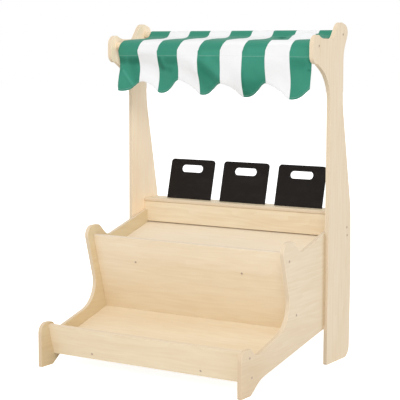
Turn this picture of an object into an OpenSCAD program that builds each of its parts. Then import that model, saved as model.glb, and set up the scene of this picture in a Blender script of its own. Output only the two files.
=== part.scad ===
// Child's play market stall: plywood side panels and posts, two sloping goods bins,
// a counter with three small blackboards and a striped cloth canopy on two rods.
// X runs across the stall, the customer stands at -Y and Z is up.
// Outlines in side view are given as [distance from the front, height, corner radius].

/* [Overall] */
// Width over the outer faces of the two posts
stall_w = 900; // [600:10:1200]
// Depth from the feet at the front to the back of the posts
stall_d = 796; // [740:2:860]
// Thickness of every plywood board
board_t = 15; // [10:0.5:22]

/* [Posts] */
// Height of the front corner of the rear horn of the post, before it is rounded
post_h = 1277; // [1100:1:1400]
// Depth of the post's foot, from its straight front edge to its back
post_foot_d = 192; // [180:1:220]
// Depth of the post at its narrow neck
neck_d = 103; // [90:1:130]
// Height from the middle of the neck up to the top of the horn
neck_drop = 115; // [95:1:150]
// Height from the lower end of the neck up to the top of the horn
neck_low_drop = 307; // [250:1:340]
// How far the horn leans back behind the neck
horn_back = 45; // [20:1:55]
// Depth of the horn from front to back
horn_d = 83; // [80:1:120]
// How far the horn's top falls to the back
horn_fall = 24; // [0:1:30]
// Depth of the slope from the notch up to the horn's front corner
horn_flare = 49; // [10:1:55]
// Radius of the horn's front corner
horn_r = 42; // [8:1:45]
// Radius of the horn's back corner
horn_back_r = 30; // [10:1:36]
// Radius of the bend from the neck into the horn
neck_r = 110; // [40:5:120]
// How far the nose juts out in front of the post's front edge
nose_reach = 141; // [100:1:150]
// Height of the nose
nose_h = 104; // [80:1:120]
// Height from the nose's top up to the top of the horn
nose_drop = 54; // [35:1:65]
// Depth of the flat top of the nose
nose_flat = 43; // [42:1:55]
// Height of the notch's bottom under the nose's top
notch_h = 13; // [8:1:30]
// Depth of the flat bottom of the notch
notch_flat = 89; // [70:1:100]
// Radius of the notch's front corner
notch_r = 75; // [20:5:80]
// Radius of the nose's upper front corner
nose_r = 36; // [10:1:36]
// Radius of the nose's lower front corner
nose_low_r = 31; // [10:1:32]
// Radius of the soft bends where the nose's flat top and underside end
nose_bend_r = 12; // [4:1:15]
// Depth of the nose's flat underside
nose_under = 39; // [38:1:50]
// Slope of the nose's underside, falling to the post
nose_slope = 30; // [20:0.5:40]
// Radius of the sweep from the nose's underside into the post
nose_sweep_r = 137; // [60:1:145]
// Height of the back's lower bend
calf_h = 330; // [250:1:400]
// Height of the back's upper bend
belly_h = 570; // [500:1:640]
// How far the back leans in between its two bends
belly_in = 8; // [0:1:20]
// Radius of both bends of the back
back_bend_r = 400; // [100:10:450]
// How far the back leans in from its lower bend down to the floor
heel_in = 5; // [0:1:20]
// Radius of the rounded corner at the back of the foot
heel_r = 42; // [10:1:60]

/* [Goods bins] */
// Slope of both bins, falling to the front
bin_tilt = 16; // [12:0.5:20]
// Distance from the feet to the front end of the lower bin's floor
bin_front = 79; // [60:1:95]
// Height of the front end of the lower bin's floor
bin_front_h = 74; // [60:1:90]
// Clear depth of the lower bin along its slope
lower_bin_depth = 338; // [300:1:370]
// Height of the lip over the floor of the lower bin
lip_rise = 86; // [50:1:95]
// How far the lip and the riser reach under the bin's floor
board_drop = 31; // [16:1:40]
// Height of the upper bin's floor over the lower one, square to the slope
bin_step = 210; // [190:1:230]
// Height of the riser over the floor of the upper bin
riser_rise = 91; // [50:1:100]

/* [Side panels] */
// Height of the lower knob over the lip's top edge
lower_knob_rise = 10; // [0:1:20]
// Depth of the lower knob
lower_knob_d = 65; // [55:1:80]
// Radius of both knobs' front corners
knob_r = 37; // [15:1:40]
// Radius of both knobs' back corners
knob_back_r = 20; // [8:1:24]
// Radius of the dips behind both knobs
dip_r = 50; // [10:1:55]
// Height of the upper knob over the riser's top edge
upper_knob_rise = 39; // [25:1:55]
// Depth of the upper knob
upper_knob_d = 84; // [75:1:110]
// Run of the slope behind the lower knob
lower_knob_run = 38; // [30:1:50]
// Run of the slope behind the upper knob
upper_knob_run = 58; // [40:1:70]
// Height of the lower rising edge over the lower bin's floor, square to the slope
edge_rise = 46; // [30:1:50]
// Height of the upper rising edge over the upper bin's floor, square to the slope
upper_edge_rise = 52; // [30:1:60]
// How far the rising front edge stands in front of the riser, square to it
edge_lead = 33; // [20:1:40]
// Radius of the concave sweep between the two knobs
sweep_r = 104; // [60:1:115]
// Length of the foot on the floor
foot_l = 65; // [50:1:85]
// Radius of the foot's back corner
foot_back_r = 12; // [4:1:20]
// Run of the slope behind the foot
foot_run = 66; // [50:1:80]
// Height of the panel's underside where the slope behind the foot ends
underside_h = 45; // [35:1:60]
// Radius of the sweep behind the foot
foot_sweep_r = 130; // [60:1:150]
// Height of the bottom edge of the panel at the front rail
panel_back_h = 152; // [130:1:170]

/* [Counter] */
// Height of the counter's top
counter_h = 568.6; // [555:0.2:600]
// Distance from the back of the posts to the front rail
rail_back = 105; // [100:1:115]
// Overhang of the counter in front of the front rail
counter_overhang = 3; // [0:0.5:8]
// Depth of the counter
counter_d = 92; // [80:1:98]
// Height of the gap between the front rail and the bin under it
rail_gap = 1.2; // [0.5:0.1:4]
// Clear depth between the front rail and the rear rail
rail_space = 45.5; // [40:0.5:50]
// Height of the rear rail
rear_rail_h = 106; // [80:1:120]
// Radius of the counter's rounded front edge
counter_nose_r = 5; // [1:0.5:7]

/* [Blackboards] */
// Width of one blackboard
slate_w = 207; // [150:1:220]
// Distance from a post to the outer edge of the nearest blackboard
slate_margin = 81.5; // [60:0.5:120]
// Height of a blackboard over the counter, along its slope
slate_h = 163; // [120:1:200]
// Thickness of a blackboard
slate_t = 5; // [3:0.5:8]
// Lean of the blackboards to the back
slate_lean = 14; // [5:1:20]
// Distance from the counter's front edge to a blackboard's front face
slate_set = 47; // [40:1:60]
// Radius of a blackboard's upper corners
slate_corner_r = 14; // [5:1:25]
// Width of the hand slot
grip_w = 100; // [60:1:120]
// Height of the hand slot
grip_h = 30; // [20:1:35]
// Distance from a blackboard's top edge to the middle of its hand slot
grip_down = 38; // [30:1:50]
// Depth of the slots in the counter that hold the blackboards
slot_depth = 9; // [5:0.5:12]
// Clearance round a blackboard in its slot
slot_fit = 0.3; // [0.1:0.05:0.8]

/* [Canopy] */
// Diameter of the two rods
rod_d = 28; // [15:1:34]
// Distance from the tip of the nose to the axis of the front rod
front_rod_in = 46; // [36:1:50]
// Height of the axis of the front rod under the nose's top
front_rod_down = 39; // [36:1:50]
// Distance from the back of the neck to the axis of the rear rod
rear_rod_in = 6; // [0:1:30]
// Height of the axis of the rear rod under the horn's top
rear_rod_down = 50; // [42:1:60]
// Gap between the cloth and each post
cloth_side_gap = 14; // [1:1:40]
// Thickness of the cloth with its hems
cloth_t = 3; // [1:0.5:4]
// Gap between the cloth and what it hangs on
cloth_fit = 0.3; // [0.2:0.05:1]
// Distance that the rear sleeve reaches in front of the rear rod's axis
sleeve_run = 23; // [20:1:40]
// Height from the front end of the rear sleeve up to the rear rod's axis
sleeve_drop = 6; // [0:1:25]
// Radius of the bend where the roof leaves the rear sleeve
sleeve_r = 14; // [5:1:25]
// Drop from the front rod's axis to the tips of the scallops
valance_h = 184; // [140:1:220]
// Height of the notches between the scallops over their tips
scallop_h = 50; // [20:1:70]
// Number of stripes across the cloth
stripes = 9; // [5:2:13]
// How far the hanging cloth sways back behind its hem
sway = 12; // [0:1:20]

/* [Hidden] */

$fn = 48;
// Largest turn of one step along a rounded corner
arc_step = 6;
// Margin by which a cutting shape passes the surface that it cuts
cut = 1;
ply_colour = [0.92, 0.83, 0.68];
slate_colour = [0.18, 0.17, 0.16];
cloth_colour = [0.22, 0.58, 0.45];

inner_w = stall_w - 2 * board_t;
bin_w = inner_w - 2 * board_t;
rod_r = rod_d / 2;
slope = tan(bin_tilt);

// Goods bins in side view: the foot of the riser, the lip's top and the riser's top edge
riser_foot = bin_front + lower_bin_depth * cos(bin_tilt);
riser_foot_h = bin_front_h + lower_bin_depth * sin(bin_tilt);
lip_top_h = bin_front_h + lip_rise * cos(bin_tilt);
riser_top_h = riser_foot_h + (bin_step + riser_rise) * cos(bin_tilt);

// Posts in side view, and the rods that they carry
post_front = stall_d - post_foot_d;
neck_back = post_front + neck_d;
nose_front = post_front - nose_reach;
nose_top = post_h - nose_drop;
nose_bottom = nose_top - nose_h;
front_rod_y = nose_front + front_rod_in;
front_rod_z = nose_top - front_rod_down;
rear_rod_y = neck_back - rear_rod_in;
rear_rod_z = post_h - rear_rod_down;

// Counter and blackboards
rail_front = stall_d - rail_back;
counter_front = rail_front - counter_overhang;
rear_rail_front = rail_front + board_t + rail_space;
slate_pitch = (inner_w - 2 * slate_margin - slate_w) / 2;
slate_front = counter_front + slate_set;
cloth_w = inner_w - 2 * cloth_side_gap;

function unit(v) = v / norm(v);

// Turn from one direction to another, between -180 and 180 degrees
function turn(from, to) = let (d = to - from) d > 180 ? d - 360 : d < -180 ? d + 360 : d;

// Arc of radius r that rounds the corner b between the edges from a and to c
function corner_arc(a, b, c, r) =
    let (
        u = unit(a - b),
        v = unit(c - b),
        half = acos(u * v) / 2,
        start = b + u * r / tan(half),
        finish = b + v * r / tan(half),
        centre = b + unit(u + v) * r / sin(half),
        from = atan2(start.y - centre.y, start.x - centre.x),
        sweep = turn(from, atan2(finish.y - centre.y, finish.x - centre.x)),
        steps = max(1, ceil(abs(sweep) / arc_step))
    )
    [for (k = [0 : steps]) centre + r * [cos(from + sweep * k / steps), sin(from + sweep * k / steps)]];

function flat(p) = [p[0], p[1]];

// Closed outline with every corner [y, z, radius] rounded
function rounded(corners) =
    let (n = len(corners))
    [for (i = [0 : n - 1]) each corner_arc(
        flat(corners[(i + n - 1) % n]), flat(corners[i]), flat(corners[(i + 1) % n]), corners[i][2]
    )];

// Closed outline of a strip of the given thickness along an open path
function strip(path, t) =
    let (
        n = len(path),
        side = [for (i = [0 : n - 1])
            let (d = unit(path[min(i + 1, n - 1)] - path[max(i - 1, 0)])) [-d.y, d.x] * t / 2]
    )
    concat([for (i = [0 : n - 1]) path[i] + side[i]], [for (i = [n - 1 : -1 : 0]) path[i] - side[i]]);

// A side view drawn in [distance from the front, height] becomes a slab across the stall
module slab(x_from, width) {
    translate([x_from, -stall_d / 2, 0])
        rotate([90, 0, 90])
            linear_extrude(width)
                children();
}

// Frame of the bins: origin at the foot of the riser, Y up the slope, Z square to it
module on_slope() {
    translate([0, riser_foot - stall_d / 2, riser_foot_h])
        rotate([bin_tilt, 0, 0])
            children();
}

// Posts
module post(x_from) {
    horn_back_y = neck_back + horn_back;
    horn_front_y = horn_back_y - horn_d;
    notch_y = horn_front_y - horn_flare;
    notch_z = nose_top - notch_h;
    under_y = nose_front + nose_under;
    color(ply_colour)
        slab(x_from, board_t)
            polygon(rounded([
                [post_front, 0, 6],
                [stall_d - heel_in, 0, heel_r],
                [stall_d, calf_h, back_bend_r],
                [stall_d - belly_in, belly_h, back_bend_r],
                [neck_back, post_h - neck_low_drop, back_bend_r],
                [neck_back, post_h - neck_drop, neck_r],
                [horn_back_y, post_h - horn_fall, horn_back_r],
                [horn_front_y, post_h, horn_r],
                [notch_y, notch_z, horn_r / 2],
                [notch_y - notch_flat, notch_z, notch_r],
                [nose_front + nose_flat, nose_top, nose_bend_r],
                [nose_front, nose_top, nose_r],
                [nose_front, nose_bottom, nose_low_r],
                [under_y, nose_bottom, nose_bend_r],
                [post_front, nose_bottom - (post_front - under_y) * tan(nose_slope), nose_sweep_r]
            ]));
}

// Height of a bin floor, or of a line parallel to it, at a distance y from the front
function slope_z(y, rise) = riser_foot_h + (y - riser_foot) * slope + rise / cos(bin_tilt);

// Side panels
module side_panel(x_from) {
    lower_knob_h = lip_top_h + lower_knob_rise;
    upper_knob_h = riser_top_h + upper_knob_rise;
    upper_knob_y = riser_foot - (upper_knob_h - riser_foot_h) * slope - edge_lead / cos(bin_tilt);
    lower_dip_y = lower_knob_d + lower_knob_run;
    upper_dip_y = upper_knob_y + upper_knob_d + upper_knob_run;
    // Corner where the lower rising edge would meet the edge in front of the riser
    corner_y = riser_foot - edge_lead * cos(bin_tilt) - edge_rise * sin(bin_tilt);
    color(ply_colour)
        slab(x_from, board_t)
            polygon(rounded([
                [0, 0, 4],
                [foot_l, 0, foot_back_r],
                [foot_l + foot_run, underside_h, foot_sweep_r],
                [rail_front, panel_back_h, 3],
                [rail_front, slope_z(rail_front, bin_step + upper_edge_rise), 3],
                [upper_dip_y, slope_z(upper_dip_y, bin_step + upper_edge_rise), dip_r],
                [upper_knob_y + upper_knob_d, upper_knob_h, knob_back_r],
                [upper_knob_y, upper_knob_h, knob_r],
                [corner_y, slope_z(corner_y, edge_rise), sweep_r],
                [lower_dip_y, slope_z(lower_dip_y, edge_rise), dip_r],
                [lower_knob_d, lower_knob_h - 4, knob_back_r],
                [0, lower_knob_h, knob_r]
            ]));
}

// Goods bins
module lower_bin_floor() {
    color(ply_colour)
        on_slope()
            translate([-bin_w / 2, -lower_bin_depth, -board_t])
                cube([bin_w, lower_bin_depth, board_t]);
}

module front_lip() {
    color(ply_colour)
        on_slope()
            translate([-bin_w / 2, -lower_bin_depth - board_t, -board_drop])
                cube([bin_w, board_t, board_drop + lip_rise]);
}

module riser() {
    color(ply_colour)
        on_slope()
            translate([-bin_w / 2, 0, -board_drop])
                cube([bin_w, board_t, board_drop + bin_step + riser_rise]);
}

// The floor runs on under the front rail and ends upright against the rear rail
module upper_bin_floor() {
    color(ply_colour)
        difference() {
            on_slope()
                translate([-bin_w / 2, board_t, bin_step - board_t])
                    cube([bin_w, stall_d, board_t]);
            translate([-stall_w / 2, rear_rail_front - stall_d / 2, 0])
                cube([stall_w, stall_d, post_h]);
        }
}

// Counter
rail_bottom = slope_z(rail_front + board_t, bin_step) + rail_gap;

module front_rail() {
    color(ply_colour)
        translate([-inner_w / 2, rail_front - stall_d / 2, rail_bottom])
            cube([inner_w, board_t, counter_h - board_t - rail_bottom]);
}

module rear_rail() {
    color(ply_colour)
        translate([-inner_w / 2, rear_rail_front - stall_d / 2, counter_h - board_t - rear_rail_h])
            cube([inner_w, board_t, rear_rail_h]);
}

// Frame of the blackboards: origin where the front face meets the counter's top
module on_lean() {
    translate([0, slate_front - stall_d / 2, counter_h])
        rotate([-slate_lean, 0, 0])
            children();
}

module counter_top() {
    bottom = counter_h - board_t;
    back = counter_front + counter_d;
    color(ply_colour)
        difference() {
            slab(-inner_w / 2, inner_w)
                polygon(rounded([
                    [counter_front, bottom, counter_nose_r],
                    [back, bottom, 2],
                    [back, counter_h, 2],
                    [counter_front, counter_h, counter_nose_r]
                ]));
            for (i = [-1 : 1])
                on_lean()
                    translate([i * slate_pitch - slate_w / 2 - slot_fit, -slot_fit, -slot_depth])
                        cube([slate_w + 2 * slot_fit, slate_t + 2 * slot_fit, slot_depth + slate_t]);
        }
}

// Blackboards
module blackboard(i) {
    r = slate_corner_r;
    color(slate_colour)
        on_lean()
            translate([i * slate_pitch, slate_t, 0])
                rotate([90, 0, 0])
                    linear_extrude(slate_t)
                        difference() {
                            polygon(rounded([
                                [-slate_w / 2, -slot_depth, 1],
                                [slate_w / 2, -slot_depth, 1],
                                [slate_w / 2, slate_h, r],
                                [-slate_w / 2, slate_h, r]
                            ]));
                            translate([0, slate_h - grip_down])
                                polygon(rounded([
                                    [-grip_w / 2, -grip_h / 2, grip_h / 2 - 0.01],
                                    [grip_w / 2, -grip_h / 2, grip_h / 2 - 0.01],
                                    [grip_w / 2, grip_h / 2, grip_h / 2 - 0.01],
                                    [-grip_w / 2, grip_h / 2, grip_h / 2 - 0.01]
                                ]));
                        }
}

// Canopy
module rod(y, z) {
    color(ply_colour)
        translate([-inner_w / 2, y - stall_d / 2, z])
            rotate([0, 90, 0])
                cylinder(d = rod_d, h = inner_w);
}

wrap_r = rod_r + cloth_fit + cloth_t / 2;
valance_y = front_rod_y - wrap_r;
hem_low = front_rod_z - valance_h;

// Angle of the point where a line from p touches the cloth's bend round the rod at c
function touch(c, p, side) = atan2(p.y - c.y, p.x - c.x) + side * acos(wrap_r / norm(p - c));

front_rod_axis = [front_rod_y, front_rod_z];
rear_rod_axis = [rear_rod_y, rear_rod_z];
sleeve_end = rear_rod_axis - [sleeve_run, sleeve_drop];
sleeve_turn = 360 + touch(rear_rod_axis, sleeve_end, -1);
front_turn = touch(front_rod_axis, sleeve_end, 1);

// Middle of the cloth in side view: round the rear rod, down its sleeve, over the front rod and down
cloth_path = concat(
    [for (a = [-130 : 10 : sleeve_turn]) rear_rod_axis + wrap_r * [cos(a), sin(a)]],
    corner_arc(rear_rod_axis + wrap_r * [cos(sleeve_turn), sin(sleeve_turn)], sleeve_end,
        front_rod_axis + wrap_r * [cos(front_turn), sin(front_turn)], sleeve_r),
    [for (k = [0 : 10]) let (a = front_turn + (180 - front_turn) * k / 10)
        front_rod_axis + wrap_r * [cos(a), sin(a)]],
    [for (k = [1 : 18]) let (s = k / 18)
        [valance_y + sway * (1 - cos(360 * min(1, s * 1.35))) / 2, front_rod_z - valance_h * s]]
);

// Lower edge of the cloth: round lobes with a notch at the right edge of each dark stripe
stripe_w = cloth_w / stripes;
function hem_z(x) = hem_low + scallop_h * (1 - abs(cos(90 * (x + cloth_w / 2) / stripe_w)));
hem_line = [for (k = [0 : stripes * 6]) let (x = -cloth_w / 2 + k * stripe_w / 6) [x, hem_z(x)]];

module canopy() {
    color(cloth_colour)
        difference() {
            slab(-cloth_w / 2, cloth_w)
                polygon(strip(cloth_path, cloth_t));
            translate([0, front_rod_y - stall_d / 2, 0])
                rotate([90, 0, 0])
                    linear_extrude(2 * rod_d + sway)
                        polygon(concat(
                            [[-cloth_w / 2 - cut, hem_low - cut]],
                            [[-cloth_w / 2 - cut, hem_z(-cloth_w / 2)]],
                            hem_line,
                            [[cloth_w / 2 + cut, hem_z(cloth_w / 2)], [cloth_w / 2 + cut, hem_low - cut]]
                        ));
        }
}

post(-stall_w / 2);  // left_post
post(inner_w / 2);  // right_post
side_panel(-inner_w / 2);  // left_side_panel
side_panel(bin_w / 2);  // right_side_panel
lower_bin_floor();
front_lip();
riser();
upper_bin_floor();
front_rail();
rear_rail();
counter_top();
blackboard(-1);  // left_blackboard
blackboard(0);  // middle_blackboard
blackboard(1);  // right_blackboard
rod(front_rod_y, front_rod_z);  // front_rod
rod(rear_rod_y, rear_rod_z);  // rear_rod
canopy();
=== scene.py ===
"""Looks of a child's play market stall, laid out as a Blender add-on and run as a script.

The woodwork is the fixed frame's own solids with rounded edges and a plywood finish.
The canopy is a sheet worked out with numpy, and the screws are small turned surfaces.
"""

import math

import bpy
import numpy as np
from bpy.props import FloatProperty, FloatVectorProperty, PointerProperty
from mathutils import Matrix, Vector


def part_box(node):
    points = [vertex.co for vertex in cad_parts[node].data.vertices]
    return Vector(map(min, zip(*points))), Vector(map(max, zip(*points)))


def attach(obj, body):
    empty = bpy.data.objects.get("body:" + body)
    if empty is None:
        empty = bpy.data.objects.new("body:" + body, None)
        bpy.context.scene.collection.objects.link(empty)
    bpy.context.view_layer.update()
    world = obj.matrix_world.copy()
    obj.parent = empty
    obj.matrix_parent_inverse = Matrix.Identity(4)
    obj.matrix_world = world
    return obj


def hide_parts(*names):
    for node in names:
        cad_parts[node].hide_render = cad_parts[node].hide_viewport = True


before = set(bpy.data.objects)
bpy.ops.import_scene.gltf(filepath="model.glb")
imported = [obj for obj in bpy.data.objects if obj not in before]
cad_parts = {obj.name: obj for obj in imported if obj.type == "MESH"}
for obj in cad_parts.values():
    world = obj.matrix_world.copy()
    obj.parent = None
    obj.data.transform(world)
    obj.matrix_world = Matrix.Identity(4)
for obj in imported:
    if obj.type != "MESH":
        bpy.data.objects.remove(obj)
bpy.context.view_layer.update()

bl_info = {
    "name": "Play Market Stall",
    "version": (1, 0, 0),
    "blender": (4, 5, 0),
    "location": "3D View > Sidebar > Stall",
    "description": "Plywood play stall with goods bins, blackboards and a striped cloth canopy",
    "category": "Object",
}

BODY = "root"

# Plywood nodes with flat sides that face left and right
UPRIGHT_BOARDS = ("left_post", "right_post", "left_side_panel", "right_side_panel")
# Plywood nodes that follow the slope of the bins, with the angle that their thickness leans from +Z
SLOPING_BOARDS = {"lower_bin_floor": 0.0, "upper_bin_floor": 0.0, "front_lip": 90.0, "riser": 90.0}
# Plywood nodes that stand upright or lie level across the stall
LEVEL_BOARDS = {"front_rail": 90.0, "rear_rail": 90.0, "counter_top": 0.0}
BLACKBOARDS = ("left_blackboard", "middle_blackboard", "right_blackboard")
RODS = ("front_rod", "rear_rod")
# Colours of the plywood's face and of its cut edges
FACE_COLOUR, EDGE_COLOUR = (0.80, 0.665, 0.468), (0.76, 0.64, 0.48)
# Thickness of one ply, and half the thickness of a board
PLY, BOARD_HALF = 0.00136, 0.0075
# Boards whose veneer is multiplied by factors of red, green and blue: the upper bin floor painted lighter and
# paler, as painted light, the lower bin floor a little darker, and the riser warmer, as painted shade that
# the rim factors lift towards its upper edge
PAINTED_LIGHT_AND_TONES = {
    "upper_bin_floor": (1.19, 1.275, 1.455),
    "lower_bin_floor": (0.97, 0.97, 0.98),
    "riser": (1.0, 0.985, 0.96),
}
# The same factors, as painted light and shade, for the inner faces of the left boards: the post's painted
# lighter, as if in full light, and the side panel's painted warmer and darker, as shade with warm light
# bounced from the bins
INNER_PAINTED_LIGHT = {"left_post": (1.215, 1.215, 1.25), "left_side_panel": (0.89, 0.88, 0.785)}
# Factors of the painted shade at the feet, of the painted light at the riser's upper edge and of the painted
# shade in the corner between side panel and post
FEET_SHADE, RIM_LIGHT, CORNER_SHADE = (0.895, 0.845, 0.79), (1.035, 1.06, 1.13), (0.79, 0.75, 0.67)
# The corner where a side panel's outer face meets the front edge of a post's foot: how far it lies before the
# post's back, its lower and upper end, and how far its shade reaches over the panel and over the post
JOINT_REACH, JOINT_LOW, JOINT_HIGH = 0.192, 0.145, 0.505
PANEL_SHADE, POST_SHADE = 0.026, 0.011

# Distance from a rod's surface to the middle of the cloth on it
CLOTH_EASE = 0.0016
# Angle round the front rod where the roof meets it, measured up from the back
CREST_TURN = math.radians(122)
# The roof in side view: distance behind the front rod's axis and height over it, up to the rear sleeve
ROOF = (
    (0.001, 0.009, 0.019, 0.042, 0.089, 0.133, 0.155, 0.169),
    (0.0186, 0.0206, 0.0218, 0.0240, 0.0270, 0.0292, 0.0325, 0.0370),
)
# Lean of the stripes: height over the front rod's axis, and share of the way to their place at the rear rod
LEAN = (
    (-0.022, -0.016, -0.009, -0.005, -0.001, 0.002, 0.006, 0.010, 0.014),
    (0.0, 0.13, 0.18, 0.26, 0.33, 0.39, 0.49, 0.58, 0.65),
)
# The turned-in end behind the rear sleeve: its gap to the sleeve and its length
TUCK_GAP, TUCK_RUN = 0.0016, 0.013
# How far before the front end of its sleeve the cloth leaves its straight way to bend into the roof
SLEEVE_BEND = 0.011
# Rows of the cloth from the start of the roof to the seam of the rear sleeve
REAR_SEAM_ROWS = 9
# The strip that closes the front sleeve: how far behind the rod's axis it starts, its gap to the outer cloth
LINING_RUN, LINING_GAP = 0.030, 0.0014
# The point that the strip bends towards: behind and under the front rod's axis
LINING_PULL = np.array([0.026, -0.022])
# Bulges of the roof: share across, distance before the rear rod's axis, half width across as a share, half
# width along and height
BULGES = (
    (0.842, 0.036, 0.064, 0.017, 0.020),
    (0.730, 0.040, 0.030, 0.020, -0.005),
    (0.800, 0.104, 0.100, 0.042, -0.0085),
)
# Rows of the hanging part of the cloth
HANG_ROWS = 88
# Places of the stripes' edges across the cloth, on the front rod and on the rear rod
FRONT_MARKS = (-0.423, -0.3285, -0.239, -0.1445, -0.053, 0.0445, 0.142, 0.239, 0.3395, 0.4235)
REAR_MARKS = (-0.4015, -0.3085, -0.2135, -0.1205, -0.024, 0.0705, 0.1645, 0.260, 0.358, 0.427)
# Places of the notches of the hem, the first and last one off the cloth, and their rise over the lowest line
NOTCHES = np.array([-0.520, -0.317, -0.145, 0.043, 0.235, 0.436])
NOTCH_RISE = np.array([0.041, 0.041, 0.054, 0.047, 0.055, 0.046])
# The line that the hem's lobes stand on: its height in the stall's middle and its slope across
HEM_MIDDLE, HEM_SLOPE = 0.9983, -0.0233
# One lobe of the hem: share of the way from notch to notch, and height between the lowest line and the notch
LOBE = (
    (0.0, 0.06, 0.16, 0.26, 0.31, 0.36, 0.41, 0.46, 0.53, 0.60, 0.67, 0.73, 0.79, 0.86, 0.93, 1.0),
    (1.0, 0.97, 0.84, 0.68, 0.56, 0.39, 0.20, 0.06, 0.00, 0.01, 0.07, 0.17, 0.33, 0.58, 0.86, 1.0),
)
# Heights under the front rod's axis at which the depth of the folds is given, in metres
FOLD_DROPS = (0.0, 0.03, 0.06, 0.09, 0.12, 0.15, 0.18, 0.21)
# Depth of the folds in millimetres, one row for each stripe edge from left to right
FOLDS = np.array([
    (0, 3, 12, 11.5, 5, 0.5, 0.5, 2),
    (0, -2, 7.5, 16, 17.5, 12.5, 8.5, 5.5),
    (0, 0, 7, 15, 16, 11, 4, 0),
    (0, -4, -4.5, 0, 4.5, 6, 6.5, 7),
    (0, -2, -6, -1.5, 9, 14.5, 15, 12.5),
    (0, 0, -1, -0.5, -1, -2, 0, 1),
    (0, -4, -8, -9.5, -5, 3.5, 14.5, 19),
    (0, -2, -5.5, -4, -0.5, 3, 5, 7),
    (0, -1, 0.5, 4.5, 8, 6.5, 1.5, -2),
    (0, 4, 8.5, 8.5, 6.5, 3.5, 1, 0),
], dtype=float)
# Screws in the front of the riser and of the lip: distance from the stall's middle, and for each board how
# far they sit up its slope from its middle and how far to the right
SCREW_REACH = 0.235
BOARD_SCREWS = {"riser": (0.0685, -0.0045), "front_lip": (-0.0375, -0.003)}
# Screws in the outer faces: distance behind the side panel's front and height over the floor
SIDE_SCREWS = {
    "right_side_panel": ((0.331, 0.427), (0.388, 0.225), (0.0566, 0.133), (0.072, 0.063)),
    "right_post": ((0.757, 0.503), (0.761, 0.472), (0.509, 1.184), (0.701, 1.227)),
}
# A screw head in section, from its middle out: share of its radius, and height over the board's face.
# The recess stops just over the face, because the board under it has no hole
HEAD = np.array([
    (0.02, 0.00012), (0.37, 0.00012), (0.42, 0.00018), (0.45, 0.00078), (0.49, 0.00085),
    (0.82, 0.00082), (0.94, 0.00062), (1.0, 0.00020), (1.0, -0.0005),
])
# Width of the cloth that the shares across stand for in the soft lines
CLOTH_WIDTH = 0.842
# Soft lines on the cloth: share across and drop at both ends, half width in metres, and strength.
# The strength of a crease is its depth in metres, that of a tone how much it paints the dark stripes lighter
# as painted light, when over 0, and darker as painted shade, when under 0
CREASES = (
    (0.015, 0.085, 0.085, 0.155, 0.008, -0.0030),
    (0.455, 0.075, 0.545, 0.150, 0.016, 0.0030),
    (0.905, 0.062, 0.965, 0.072, 0.012, 0.0015),
    (0.245, 0.070, 0.285, 0.120, 0.012, -0.0015),
    (0.700, 0.080, 0.755, 0.130, 0.018, 0.0015),
)
# Painted light and shade of the folds on the dark stripes: darker under the seam and in the creases, lighter
# where the cloth comes forward
PAINTED_FOLD_SHADING = (
    (0.004, 0.060, 0.026, 0.060, 0.0130, -0.30),
    (0.064, 0.061, 0.108, 0.061, 0.0160, -0.37),
    (0.078, 0.090, 0.100, 0.135, 0.0180, -0.13),
    (0.022, 0.099, 0.074, 0.153, 0.0055, 0.24),
    (0.012, 0.135, 0.040, 0.160, 0.0180, 0.06),
    (0.228, 0.054, 0.245, 0.086, 0.0130, -0.36),
    (0.276, 0.058, 0.335, 0.060, 0.0160, -0.24),
    (0.268, 0.090, 0.288, 0.094, 0.0110, -0.15),
    (0.300, 0.095, 0.325, 0.125, 0.0220, -0.07),
    (0.452, 0.074, 0.548, 0.144, 0.0170, -0.22),
    (0.452, 0.110, 0.505, 0.160, 0.0240, -0.15),
    (0.500, 0.055, 0.545, 0.095, 0.0180, 0.10),
    (0.470, 0.026, 0.550, 0.026, 0.0100, 0.11),
    (0.672, 0.160, 0.772, 0.152, 0.0310, -0.22),
    (0.680, 0.182, 0.700, 0.200, 0.0160, -0.16),
    (0.670, 0.100, 0.673, 0.150, 0.0060, -0.14),
    (0.700, 0.050, 0.765, 0.075, 0.0280, 0.05),
    (0.700, 0.018, 0.770, 0.018, 0.0140, 0.09),
    (0.912, 0.066, 0.952, 0.068, 0.0200, -0.12),
    (0.992, 0.054, 0.998, 0.058, 0.0080, -0.36),
    (0.985, 0.088, 0.995, 0.089, 0.0045, -0.28),
    (0.905, 0.020, 0.970, 0.024, 0.0200, 0.12),
    (0.925, 0.120, 0.975, 0.150, 0.0300, 0.05),
)

# Pitch of the threads of the weave
THREAD_PITCH = 0.0011
# Half the side of the floor
FLOOR_REACH = 30.0
# Lamps: place, side and power in watts, and the point that they face
LAMPS = {"key": ((2.0, -4.0, 5.0), 3.0, 150), "fill": ((0.2, -5.0, 1.6), 3.0, 18)}
LAMP_AIM = np.array([0.0, 0.0, 0.55])
# Camera at the photograph's viewpoint: focal length and picture width in pixels, place, and how far it looks
# down, rolls and turns, in radians
FOCAL_PIXELS, PICTURE_PIXELS, SENSOR_WIDTH = 1311.2, 400, 36.0
CAMERA_PLACE = (2.60850, -4.10206, 1.16302)
CAMERA_DOWN, CAMERA_ROLL, CAMERA_TURN = 0.112856, -0.003076, 0.563488

# What all settings of a colour and all settings of a length have in common
COLOUR = {"subtype": "COLOR", "size": 3, "min": 0.0, "max": 1.0}
LENGTH = {"subtype": "DISTANCE", "unit": "LENGTH"}


def middle(name):
    """Middle of a CAD node's box as a numpy array."""
    low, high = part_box(name)
    return (np.array(low) + np.array(high)) / 2


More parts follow.
